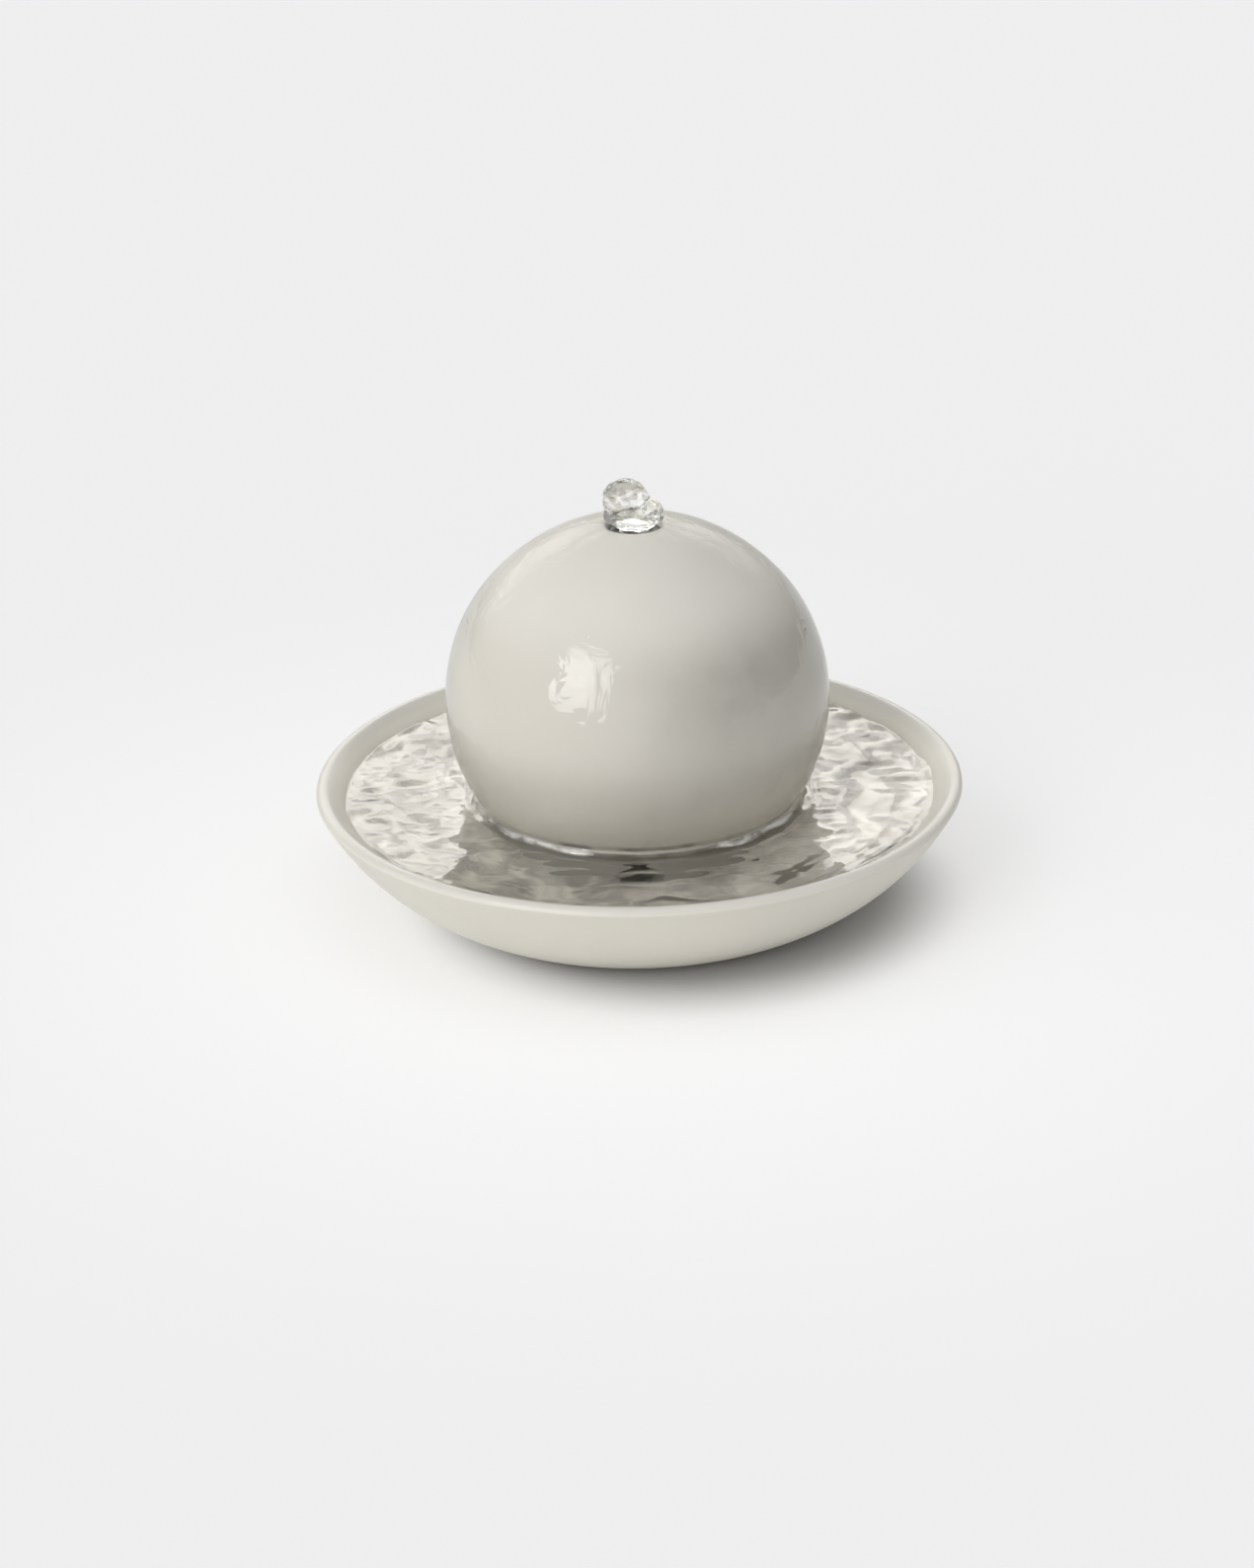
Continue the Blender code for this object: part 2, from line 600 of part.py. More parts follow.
def make_water_pool(material):
    """The water in the basin around the ball, level on top."""
    wall = moved_left(basin_inner_wall(), -GAP)
    shore = [point for point in wall if point[1] < WATER_LEVEL]
    above = wall[len(wall) - len(shore) - 1]
    share = (WATER_LEVEL - shore[0][1]) / (above[1] - shore[0][1])
    brink = (shore[0][0] + share * (above[0] - shore[0][0]), WATER_LEVEL)
    ball_level = -math.asin((DOME_CENTRE - WATER_LEVEL) / (DOME_RADIUS + GAP))
    collar_level = -math.acos((COLLAR_OUTER + GAP) / (DOME_RADIUS + GAP))
    outline = [brink] + shore + [(COLLAR_OUTER + GAP, BASIN_FLOOR + GAP)]
    outline += ball_curve(-GAP, collar_level, ball_level, 4)
    turned("water_pool", outline, material, BASIN_SIDES)


def make_water_bubble(material):
    """The spring of water on the crown: a short neck in the hole and two lobes above it."""
    root = GROMMET_TOP + GAP
    outline = [(0.0, root), (NECK_RADIUS, root), (NECK_RADIUS, NECK_TOP), (0.0, NECK_TOP + 0.001)]
    bubble = turned("water_bubble", outline, material, TINY_SIDES)
    for x, y, z, radius in LOBES:
        shape = bmesh.new()
        bmesh.ops.create_uvsphere(shape, u_segments=TINY_SIDES, v_segments=10, radius=radius)
        lobe = add_object("lobe", shape)
        lobe.location = (x, y, z)
        join(bubble, lobe)


def main():
    clear_scene()
    glaze = finish("warm_white_glaze", (0.74, 0.71, 0.65), 0.35)
    ball_glaze = finish("ball_glaze", (0.76, 0.73, 0.67), 0.15)
    silicone = finish("clear_silicone", (0.62, 0.62, 0.60), 0.55)
    dark_silicone = finish("dark_silicone", (0.10, 0.10, 0.095), 0.5)
    black_plastic = finish("black_plastic", (0.025, 0.026, 0.028), 0.45)
    resin = finish("black_resin", (0.02, 0.02, 0.022), 0.2)
    white_plastic = finish("white_plastic", (0.70, 0.70, 0.68), 0.4)
    steel = finish("laminated_steel", (0.42, 0.42, 0.43), 0.35, 1.0)
    copper = finish("copper_wire", (0.72, 0.36, 0.18), 0.35, 1.0)
    ferrite = finish("ferrite", (0.06, 0.06, 0.065), 0.5)
    bright_steel = finish("bright_steel", (0.62, 0.62, 0.63), 0.15, 1.0)
    foam = finish("black_foam", (0.03, 0.03, 0.032), 0.95)
    vinyl = finish("clear_vinyl", (0.85, 0.88, 0.88), 0.1, alpha=0.4)
    water = finish("water", (0.88, 0.90, 0.88), 0.03, alpha=0.3)
    make_basin(glaze)
    make_foot_pads(silicone)
    make_dome(ball_glaze)
    make_grommet(dark_silicone)
    make_riser_tube(vinyl)
    make_pump_housing(black_plastic)
    make_chamber_cover(black_plastic)
    make_chamber_seal(dark_silicone)
    make_stator_core(steel)
    make_coil(copper)
    make_potting_plug(resin)
    make_cable_gland(dark_silicone)
    make_rotor(ferrite, white_plastic)
    make_shaft_and_bushes(bright_steel, dark_silicone)
    make_strainer(black_plastic, foam)
    make_flow_dial(white_plastic)
    make_suction_cups(dark_silicone)
    make_water_pool(water)
    make_water_bubble(water)


main()
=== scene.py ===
"""Looks of the tabletop water fountain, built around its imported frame."""

import math

import bmesh
import bpy
import numpy as np
from bpy.props import FloatProperty, FloatVectorProperty, PointerProperty
from mathutils import Matrix, Vector


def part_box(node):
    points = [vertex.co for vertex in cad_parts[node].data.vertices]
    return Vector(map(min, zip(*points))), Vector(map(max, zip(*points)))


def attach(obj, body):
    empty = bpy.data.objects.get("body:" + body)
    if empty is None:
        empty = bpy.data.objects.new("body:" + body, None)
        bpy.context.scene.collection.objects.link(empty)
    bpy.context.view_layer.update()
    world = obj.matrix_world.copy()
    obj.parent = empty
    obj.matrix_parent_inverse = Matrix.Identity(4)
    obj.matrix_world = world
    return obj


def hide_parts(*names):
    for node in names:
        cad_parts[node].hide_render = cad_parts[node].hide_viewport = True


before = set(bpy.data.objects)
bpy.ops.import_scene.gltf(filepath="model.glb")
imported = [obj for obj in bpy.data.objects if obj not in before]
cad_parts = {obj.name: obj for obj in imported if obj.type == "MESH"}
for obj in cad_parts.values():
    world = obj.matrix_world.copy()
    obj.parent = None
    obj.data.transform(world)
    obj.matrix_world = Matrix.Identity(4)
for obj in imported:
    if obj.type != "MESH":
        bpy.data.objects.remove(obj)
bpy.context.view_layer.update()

bl_info = {
    "name": "Tabletop Water Fountain",
    "version": (1, 0, 0),
    "blender": (4, 5, 0),
    "location": "3D View > Sidebar > Fountain",
    "description": "Makes the ceramic, the water and the finishes of a tabletop fountain",
    "category": "Add Mesh",
}

BASIN_LOW, BASIN_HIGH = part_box("basin")
BALL_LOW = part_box("dome")[0]
POOL_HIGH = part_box("water_pool")[1]
RING_LOW, RING_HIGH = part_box("outlet_grommet")
TUBE_LOW, TUBE_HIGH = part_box("riser_tube")
SPRING_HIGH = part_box("water_bubble")[1]

TURN = 2 * math.pi
BASIN_SIDES, BALL_SIDES, POOL_SIDES, FILM_SIDES = 288, 512, 720, 560
LIP_ARC = 124  # Degrees that the lip's round edge turns through before the inner wall starts.


def length(name, default, description):
    """A size property, in metres."""
    return FloatProperty(
        name=name, description=description, default=default, unit="LENGTH", precision=4
    )


def tint(name, default, description):
    """A colour property."""
    limits = {"subtype": "COLOR", "size": 3, "min": 0.0, "max": 1.0}
    return FloatVectorProperty(name=name, description=description, default=default, **limits)


class FountainSizes(bpy.types.PropertyGroup):
    """Sizes of the ceramic and the water."""

    basin_radius: length("Basin radius", BASIN_HIGH[0], "From the axis to the outside of the lip")
    basin_top: length("Basin top", BASIN_HIGH[2], "Height of the lip")
    foot_bottom: length("Foot bottom", BASIN_LOW[2], "Height of the foot ring's underside")
    foot_outer: length("Foot radius", 0.077, "Outside of the foot ring")
    foot_inner: length("Foot inner radius", 0.066, "Inside of the foot ring")
    floor_height: length("Basin floor", 0.008, "Height of the basin's floor")
    lip_width: length("Lip width", 0.0060, "Width of the round lip")
    lip_height: length("Lip height", 0.0026, "Height of the lip's rounding")
    wall_bulge: length("Wall bulge", 0.0060, "How far the outer wall bulges")
    ball_radius: length("Ball radius", 0.0745, "Radius of the ball's middle")
    ball_crown: length("Crown height", 0.0722, "Height of the ball's upper half, before its hole")
    ball_centre: length("Ball centre", 0.0825, "Height of the ball's middle")
    ball_wall: length("Ball wall", 0.0052, "Thickness of the ball")
    hole_radius: length("Crown hole", 0.0100, "Radius of the hole in the crown")
    hole_edge: length("Hole edge", 0.0138, "Where the crown starts to round into its hole")
    collar_outer: length("Collar radius", 0.0535, "Outside of the collar")
    collar_inner: length("Collar inner radius", 0.0485, "Inside of the collar")
    collar_top: length("Collar top", 0.0306, "Where the collar meets the round of the ball")
    arch_width: length("Arch width", 0.0160, "Width of an inlet arch in the collar")
    arch_height: length("Arch height", 0.0140, "Height of an inlet arch in the collar")
    water_level: length("Water level", POOL_HIGH[2], "Height of the still water")
    ripple_length: length("Ripple length", 0.0185, "From one ring ripple to the next")
    ripple_height: length("Ripple height", 0.0004, "Height of the ring ripples")
    meniscus: length("Meniscus", 0.0021, "How far the water climbs the ball")
    film: length("Film", 0.00035, "Thickness of the water that runs down the ball")


class FountainColours(bpy.types.PropertyGroup):
    """Colours of the finishes."""

    basin_glaze: tint("Basin glaze", (0.66, 0.635, 0.565), "Satin glaze of the basin")
    lip_glaze: tint("Lip glaze", (0.71, 0.69, 0.635), "Thinner glaze along the lip")
    ball_glaze: tint("Ball glaze", (0.76, 0.738, 0.68), "Glaze of the ball")
    water: tint("Water", (0.985, 0.985, 0.975), "Tint of the water")
    dark_silicone: tint("Dark silicone", (0.035, 0.034, 0.031), "Outlet ring in the crown")
    floor: tint("Floor", (0.66, 0.66, 0.66), "The surface that the fountain stands on")


def sizes():
    return bpy.context.scene.fountain_sizes


def colours():
    return bpy.context.scene.fountain_colours


# Materials.


class Wire:
    """A node's output. Arithmetic on it adds Math nodes to its node tree."""

    def __init__(self, graph, socket):
        self.graph = graph
        self.socket = socket

    def maths(self, operation, *values):
        return self.graph.add("ShaderNodeMath", {"operation": operation}, dict(enumerate(values)))

    def __add__(self, other):
        return self.maths("ADD", self, other)

    __radd__ = __add__

    def __mul__(self, other):
        return self.maths("MULTIPLY", self, other)

    __rmul__ = __mul__

    def __sub__(self, other):
        return self.maths("SUBTRACT", self, other)

    def __rsub__(self, other):
        return self.maths("SUBTRACT", other, self)

    def __pow__(self, other):
        return self.maths("POWER", self, other)

    def wave(self):
        """0 to 1 and back, once for each full turn."""
        return 0.5 + 0.5 * self.maths("SINE", self)

    def over(self, limit):
        return self.maths("GREATER_THAN", self, limit)


class Graph:
    """The nodes of a material or of the world."""

    def __init__(self, tree):
        self.nodes = tree.nodes
        self.links = tree.links

    def set(self, socket, value):
        if isinstance(value, Wire):
            self.links.new(value.socket, socket)
        elif socket.type == "RGBA" and len(value) == 3:
            socket.default_value = (*value, 1.0)
        else:
            socket.default_value = value

    def add(self, kind, settings=None, inputs=None, output=0):
        """A node of this type: its settings first, then its sockets. Gives one of its outputs."""
        node = self.nodes.new(kind)
        for name, value in (settings or {}).items():
            setattr(node, name, value)
        for name, value in (inputs or {}).items():
            self.set(node.inputs[name], value)
        return Wire(self, node.outputs[output])

    def between(self, mask, low, high):
        """The mask, eased so that low becomes 0 and high becomes 1."""
        settings = {"interpolation_type": "SMOOTHSTEP"}
        sockets = {"Value": mask, "From Min": low, "From Max": high}
        return self.add("ShaderNodeMapRange", settings, sockets)

    def mixed(self, mask, first, second):
        """One colour where the mask is 0, the other where it is 1."""
        settings = {"data_type": "RGBA", "clamp_factor": True}
        return self.add("ShaderNodeMix", settings, {0: mask, 6: first, 7: second}, output=2)


class Finish(Graph):
    """A material, with one Principled shader at its end."""

    def __init__(self, name, **constants):
        self.material = bpy.data.materials.new(name)
        self.material.use_nodes = True
        super().__init__(self.material.node_tree)
        self.shader = self.nodes["Principled BSDF"]
        for socket, value in constants.items():
            self.set(self.shader.inputs[socket.replace("_", " ")], value)

    def place(self):
        """Where a point is on its piece, in metres."""
        return self.add("ShaderNodeTexCoord", output="Object")

    def facing(self):
        """The way the surface faces."""
        return self.add("ShaderNodeTexCoord", output="Normal")

    def noise(self, scale, detail=2.0, roughness=0.5, distortion=0.0, at=None):
        sockets = {"Vector": at or self.place(), "Scale": scale, "Detail": detail}
        sockets.update({"Roughness": roughness, "Distortion": distortion})
        return self.add("ShaderNodeTexNoise", None, sockets)

    def colour(self, value):
        self.set(self.shader.inputs["Base Color"], value)

    def roughness(self, value):
        self.set(self.shader.inputs["Roughness"], value)

    def bump(self, height, distance, strength=1.0):
        """Relief of this height, in metres for a mask of 1."""
        sockets = {"Height": height, "Distance": distance, "Strength": strength}
        normal = self.add("ShaderNodeBump", None, sockets)
        self.set(self.shader.inputs["Normal"], normal)

    def part(self, vector, axis):
        """One coordinate of a vector."""
        return self.add("ShaderNodeSeparateXYZ", None, {"Vector": vector}, output=axis)

    def height(self):
        return self.part(self.place(), "Z")

    def flat(self):
        """Where a point is in plan, with its height left out."""
        sockets = {0: self.place(), 1: (1.0, 1.0, 0.0)}
        return self.add("ShaderNodeVectorMath", {"operation": "MULTIPLY"}, sockets)

    def away(self):
        """How far a point is from the fountain's axis."""
        sockets = {0: self.flat()}
        return self.add("ShaderNodeVectorMath", {"operation": "LENGTH"}, sockets, output="Value")


def shaded(colour, factor):
    """A colour made darker or lighter."""
    return tuple(min(1.0, part * factor) for part in colour)


def water_light(paint):
    """The soft light and shade that ripples throw on the basin's floor: 0 dark, 1 light."""
    flat = paint.flat()
    warp = paint.noise(26.0, 2.0, at=flat) - 0.5
    rings = (TURN / sizes().ripple_length * (paint.away() + 0.034 * warp)).wave()
    broken = paint.between(paint.noise(24.0, 2.0, 0.5, 0.6, at=flat), 0.42, 0.60)
    in_front = 1.0 - paint.between(paint.part(paint.place(), "Y"), -0.050, -0.020)
    dark = paint.between(rings, 0.72, 1.0) * broken * in_front
    cloud = paint.between(paint.noise(36.0, 3.0, 0.55, 1.0, at=flat), 0.30, 0.68)
    streaks = paint.between(paint.noise(48.0, 2.0, 0.5, 1.4, at=flat), 0.48, 0.66)
    return 0.28 + 0.56 * cloud + 0.25 * streaks - 0.85 * dark


def basin_glaze():
    """Satin white glaze, paler along the lip, with painted light on the inner wall above the water
    and the water's net of light where it is wet.
    """
    paint = Finish("basin_glaze", Roughness=0.36, IOR=1.5, Specular_IOR_Level=0.35)
    base, lip = tuple(colours().basin_glaze), tuple(colours().lip_glaze)
    clouds = paint.between(paint.noise(26.0, 4.0), 0.3, 0.7)
    body = paint.mixed(clouds, shaded(base, 0.975), shaded(base, 1.02))
    top, level = sizes().basin_top, sizes().water_level
    ragged = paint.height() + 0.0012 * paint.noise(60.0)
    near_lip = paint.between(ragged, top - 0.0035, top + 0.0002)
    colour = paint.mixed(near_lip * 0.8, body, lip)
    upward = paint.part(paint.facing(), "Z").over(0.05)
    wet = (1.0 - paint.between(paint.height(), level - 0.004, level)) * upward
    # Painted light: the inner wall above the water, away from the lip, is painted lighter to stand
    # in for the light falling on it.
    painted_light_wall = (1.0 - near_lip) * upward * paint.between(paint.height(), level - 0.002, level)
    colour = paint.mixed(painted_light_wall, colour, shaded(base, 1.2))
    net = paint.mixed(water_light(paint), (0.27, 0.24, 0.20), (0.98, 0.94, 0.85))
    colour = paint.mixed(wet, colour, net)
    specks = paint.between(paint.noise(900.0, 1.0), 0.74, 0.80)
    paint.colour(paint.mixed(specks * 0.12, colour, shaded(base, 0.6)))
    paint.roughness(0.36 + 0.08 * paint.noise(70.0, 3.0) - 0.05 * near_lip)
    paint.bump(paint.noise(55.0, 3.0) + 0.12 * paint.noise(700.0, 2.0), 0.00035)
    return paint.material


def ball_glaze():
    """White glaze of the ball: painted paler low down as painted light, with a dark broken line of
    painted shadow where it meets the water, and painted shade below the waterline.
    """
    paint = Finish("ball_glaze", Roughness=0.45, IOR=1.45, Specular_IOR_Level=0.12)
    base = tuple(colours().ball_glaze)
    drift = paint.between(paint.noise(11.0, 3.0, 0.6), 0.32, 0.68)
    colour = paint.mixed(drift, shaded(base, 0.97), shaded(base, 1.02))
    specks = paint.between(paint.noise(950.0, 1.0), 0.75, 0.81)
    colour = paint.mixed(specks * 0.10, colour, shaded(base, 0.6))
    above = paint.height() - sizes().water_level
    # Painted light: the glaze is painted paler low down, near the water, to lift the shade there.
    low = 1.0 - paint.between(above, 0.003, 0.030)
    colour = paint.mixed(low, colour, shaded(base, 1.26))
    # Painted shadow: a dark, broken line just above the water, where the ball meets it.
    ragged = above + 0.0014 * (paint.noise(90.0, 2.0) - 0.5)
    contact_shadow = paint.between(ragged, 0.0012, 0.0022) * (1.0 - paint.between(ragged, 0.0026, 0.0046))
    broken = paint.between(paint.noise(48.0, 2.0), 0.40, 0.58)
    colour = paint.mixed(contact_shadow * (0.25 + 0.75 * broken), colour, shaded(base, 0.50))
    # Painted shade: the ball is painted darker below the waterline, as it looks under the water.
    sunk = 1.0 - paint.between(above, -0.0025, -0.0005)
    paint.colour(paint.mixed(sunk, colour, shaded(base, 0.52)))
    paint.roughness(0.42 + 0.10 * paint.noise(40.0, 3.0))
    paint.bump(paint.noise(38.0, 2.0) + 0.10 * paint.noise(600.0, 2.0), 0.0003)
    return paint.material


def clear_water(name, wrinkle, depth):
    """Clear water, with wrinkles of this size across its surface."""
    water = tuple(colours().water)
    paint = Finish(name, Base_Color=water, Roughness=0.0, IOR=1.333, Transmission_Weight=1.0)
    paint.bump(paint.noise(1.0 / wrinkle, 2.0, distortion=0.8), depth)
    return paint


def pool_water():
    """The pool's water: clear, with a dark, broken band of painted shade along the ball."""
    paint = clear_water("clear_water", 0.010, 0.00011)
    flat = paint.flat()
    ball = ball_radius_at(sizes().water_level)
    out = paint.away() - ball + 0.003 * (paint.noise(90.0, 2.0, at=flat) - 0.5)
    # Painted shade: the water's colour is darkened in a broken band along the ball.
    band = paint.between(out, 0.0012, 0.0030) * (1.0 - paint.between(out, 0.0036, 0.0075))
    broken = 0.35 + 0.65 * paint.between(paint.noise(45.0, 2.0, at=flat), 0.38, 0.58)
    paint.colour(paint.mixed(band * broken, tuple(colours().water), (0.50, 0.46, 0.40)))
    return paint.material


def spring_water():
    """The spring's water, with grey streaks of painted shade where it folds over itself."""
    paint = clear_water("spring_clear", 0.0032, 0.00040)
    lean = {"Vector": paint.place(), "Rotation": (0.0, 0.5, 0.0), "Scale": (0.6, 1.0, 1.6)}
    flow = paint.add("ShaderNodeMapping", None, lean)
    # Painted shade: the water's colour is greyed in streaks, standing in for the dark it shows
    # where it folds.
    streaks = paint.between(paint.noise(150.0, 3.0, 0.6, 1.6, at=flow), 0.44, 0.66)
    paint.colour(paint.mixed(streaks, tuple(colours().water), (0.52, 0.50, 0.42)))
    return paint.material


def water_film():
    """The film on the ball: only its shine shows, and the bead where it meets the pool, painted
    pale as a painted highlight.
    """
    paint = Finish("water_film", Base_Color=(1.0, 0.995, 0.975), Roughness=0.035)
    shine = paint.add("ShaderNodeFresnel", None, {"IOR": 1.333})
    middle, level = sizes().ball_centre, sizes().water_level
    crown = paint.between(paint.height(), middle + 0.030, middle + 0.055)
    ragged = paint.height() + 0.0014 * paint.noise(90.0, 2.0)
    # Painted highlight: the bead is pale, non-metal water, broken into patches, standing in for the
    # bright line along the waterline.
    bead = 1.0 - paint.between(ragged, level + 0.0016, level + 0.0030)
    patches = 0.08 + 0.92 * paint.between(paint.noise(65.0, 3.0), 0.42, 0.60)
    paint.set(paint.shader.inputs["Metallic"], 1.0 - 0.95 * paint.between(bead, 0.0, 0.4))
    streaks = 0.92 + 0.08 * paint.between(paint.noise(85.0, 4.0, 0.6, 1.2), 0.40, 0.62)
    alpha = shine * streaks * (1.0 - 0.75 * crown) + 0.70 * bead * patches
    paint.set(paint.shader.inputs["Alpha"], alpha)
    paint.bump(paint.noise(80.0, 2.0, distortion=1.6), 0.00058)
    return paint.material


def silicone(name, colour, rough=0.42):
    paint = Finish(name, Roughness=rough, IOR=1.43)
    bloom = paint.between(paint.noise(240.0, 3.0), 0.35, 0.7)
    paint.colour(paint.mixed(bloom, shaded(colour, 0.85), shaded(colour, 1.25)))
    paint.roughness(rough + 0.12 * bloom)
    paint.bump(paint.noise(1500.0, 2.0), 0.00004)
    return paint.material


def moulded_plastic(name, colour, rough=0.4):
    """Moulded plastic with a fine spark-eroded texture."""
    paint = Finish(name, Roughness=rough, IOR=1.49)
    flow = paint.between(paint.noise(90.0, 3.0, distortion=0.5), 0.3, 0.7)
    paint.colour(paint.mixed(flow, shaded(colour, 0.92), shaded(colour, 1.12)))
    paint.roughness(rough + 0.08 * paint.noise(300.0, 2.0))
    paint.bump(paint.noise(2600.0, 2.0), 0.00003)
    return paint.material


def cast_resin():
    paint = Finish("cast_resin", Roughness=0.16, IOR=1.52)
    pits = paint.between(paint.noise(420.0, 1.0), 0.68, 0.74)
    paint.colour(paint.mixed(pits, (0.018, 0.018, 0.020), (0.05, 0.05, 0.052)))
    paint.bump(paint.noise(150.0, 2.0), 0.0002)
    return paint.material


def stripes(paint, period, axis):
    """Even bands across one axis, from 0 to 1."""
    waves = {"Vector": paint.place(), "Scale": 0.5 / period}
    settings = {"bands_direction": axis, "wave_profile": "SIN"}
    return paint.add("ShaderNodeTexWave", settings, waves, output=1)


def laminated_steel():
    paint = Finish("laminated_steel", Metallic=1.0, Roughness=0.38)
    sheets = stripes(paint, 0.0005, "Z")
    rust = paint.between(paint.noise(400.0, 3.0), 0.6, 0.75)
    steel = paint.mixed(sheets, (0.22, 0.22, 0.23), (0.50, 0.50, 0.51))
    paint.colour(paint.mixed(rust * 0.35, steel, (0.25, 0.14, 0.08)))
    paint.bump(sheets, 0.00006)
    return paint.material


def copper_wire():
    paint = Finish("copper_wire", Metallic=1.0, Roughness=0.28)
    turns = stripes(paint, 0.00025, "X")
    paint.colour(paint.mixed(turns, (0.30, 0.11, 0.045), (0.78, 0.36, 0.17)))
    paint.bump(turns, 0.00008)
    return paint.material


def ferrite():
    paint = Finish("ferrite", Roughness=0.45, IOR=1.9)
    grain = paint.noise(1800.0, 2.0)
    paint.colour(paint.mixed(grain, (0.035, 0.036, 0.040), (0.075, 0.076, 0.082)))
    paint.bump(grain, 0.00003)
    return paint.material


def ground_steel():
    paint = Finish("ground_steel", Metallic=1.0, Roughness=0.16)
    lines = stripes(paint, 0.0002, "Y")
    paint.colour(paint.mixed(lines, (0.52, 0.52, 0.53), (0.68, 0.68, 0.69)))
    paint.roughness(0.12 + 0.1 * lines)
    return paint.material


def open_foam():
    paint = Finish("open_foam", Roughness=0.95)
    cells = {"Vector": paint.place(), "Scale": 900.0}
    pores = paint.between(paint.add("ShaderNodeTexVoronoi", None, cells), 0.1, 0.6)
    paint.colour(paint.mixed(pores, (0.008, 0.008, 0.009), (0.07, 0.07, 0.075)))
    paint.bump(pores, 0.0005)
    return paint.material


def clear_vinyl():
    """Clear hose: it shows what is behind it, and its edges shine."""
    paint = Finish("clear_vinyl", Base_Color=(0.80, 0.84, 0.83), Roughness=0.12, IOR=1.5)
    edge = paint.add("ShaderNodeLayerWeight", None, {"Blend": 0.35}, output="Facing")
    haze = paint.noise(80.0, 3.0)
    paint.set(paint.shader.inputs["Alpha"], 0.22 + 0.6 * edge + 0.08 * haze)
    paint.bump(paint.noise(140.0, 2.0), 0.0001)
    return paint.material


# Meshes.


def plane_waves(x, y, shortest, longest, count, seed):
    """Many crossing waves, added: a calm random height for each point, about -1 to 1."""
    random = np.random.default_rng(seed)
    total = np.zeros_like(x)
    weight = 0.0
    for _ in range(count):
        wave = shortest * (longest / shortest) ** random.random()
        angle = TURN * random.random()
        phase = TURN * random.random()
        along = x * math.cos(angle) + y * math.sin(angle)
        total += wave * np.sin(TURN * along / wave + phase)
        weight += wave * wave
    return total / math.sqrt(weight)


def bezier(points, steps):
    """Points along a Bezier curve, both ends included."""
    points = np.array(points, float)
    degree = len(points) - 1
    t = np.linspace(0.0, 1.0, steps + 1)[:, None]
    curve = sum(
        math.comb(degree, i) * t**i * (1 - t) ** (degree - i) * points[i] for i in range(degree + 1)
    )
    return [tuple(point) for point in curve]


def add_piece(name, vertices, faces, material, body, replaced=()):
    """A smooth-shaded object that rides on a body."""
    mesh = bpy.data.meshes.new(name)
    mesh.from_pydata([tuple(map(float, v)) for v in vertices], [], faces)
    shape = bmesh.new()
    shape.from_mesh(mesh)
    bmesh.ops.remove_doubles(shape, verts=shape.verts[:], dist=1e-7)
    if not any(edge.is_boundary for edge in shape.edges):
        bmesh.ops.recalc_face_normals(shape, faces=shape.faces[:])
    shape.to_mesh(mesh)
    shape.free()
    return finish_piece(name, mesh, material, body, replaced)


def finish_piece(name, mesh, material, body, replaced=(), sharp=40.0):
    mesh.shade_smooth()
    mesh.set_sharp_from_angle(angle=math.radians(sharp))
    mesh.materials.clear()
    mesh.materials.append(material)
    obj = bpy.data.objects.new(name, mesh)
    bpy.context.scene.collection.objects.link(obj)
    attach(obj, body)
    if replaced:
        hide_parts(*replaced)
    return obj


def turned(profile, sides, closed=True):
    """Vertices and faces of a profile of (radius, height) points turned about Z.

    The profile's points run with the solid on their left, so that its faces point out.
    """
    profile = np.array(profile, float)
    angles = np.arange(sides) * TURN / sides
    radius, height = profile[:, 0, None], profile[:, 1, None]
    x, y = radius * np.cos(angles), radius * np.sin(angles)
    z = np.broadcast_to(height, x.shape)
    vertices = np.stack([x, y, z], -1).reshape(-1, 3)
    faces = []
    rings = len(profile) if closed else len(profile) - 1
    for ring in range(rings):
        start, above = ring * sides, (ring + 1) % len(profile) * sides
        for side in range(sides):
            after = (side + 1) % sides
            faces.append((start + side, start + after, above + after, above + side))
    return vertices, faces


def refined(profile, step):
    """The profile with points added so that none are further apart than step."""
    fine = []
    for (r0, z0), (r1, z1) in zip(profile, profile[1:]):
        count = max(1, math.ceil(math.hypot(r1 - r0, z1 - z0) / step))
        for i in range(count):
            fine.append((r0 + (r1 - r0) * i / count, z0 + (z1 - z0) * i / count))
    return fine + [profile[-1]]


def lip_point(degrees):
    """A point of the lip's round edge, turned this far from its outside."""
    s = sizes()
    angle = math.radians(degrees)
    radius = s.basin_radius - s.lip_width / 2 + s.lip_width / 2 * math.cos(angle)
    return (radius, s.basin_top - s.lip_height * (1 - math.sin(angle)))


def basin_inner_wall(steps):
    """From the lip down to the floor, in one curve that eases into the floor."""
    bottom = sizes().floor_height
    controls = [lip_point(LIP_ARC), (0.1050, 0.0380), (0.1000, bottom + 0.0005), (0.0700, bottom)]
    return bezier(controls, steps)


def basin_profile():
    """The basin's section: under its foot, up the outside, over the lip and down to its floor."""
    s = sizes()
    run = s.basin_radius - s.foot_outer
    rise = s.basin_top - s.lip_height - s.foot_bottom
    reach = math.hypot(run, rise)
    outer = []
    for t in np.linspace(0.0, 1.0, 49):
        bulge = s.wall_bulge * 4 * t * (1 - t) / reach
        radius = s.foot_outer + run * t + rise * bulge
        outer.append((radius, s.foot_bottom + rise * t - run * bulge))
    lip = [lip_point(degrees) for degrees in np.linspace(0, LIP_ARC, 25)[1:]]
    inside, bottom = s.foot_inner, s.foot_bottom
    recess = bottom + 0.002
    under = [(0.0, recess), (inside - 0.003, recess)]
    under += bezier([under[-1], (inside, recess), (inside, bottom + 0.0006)], 5)[1:]
    under += bezier([under[-1], (inside, bottom), (inside + 0.0008, bottom)], 4)[1:]
    under += [(s.foot_outer - 0.0012, bottom)]
    inner = basin_inner_wall(60)[1:] + [(0.0, s.floor_height)]
    return refined(under + outer[1:] + lip + inner, 0.004)


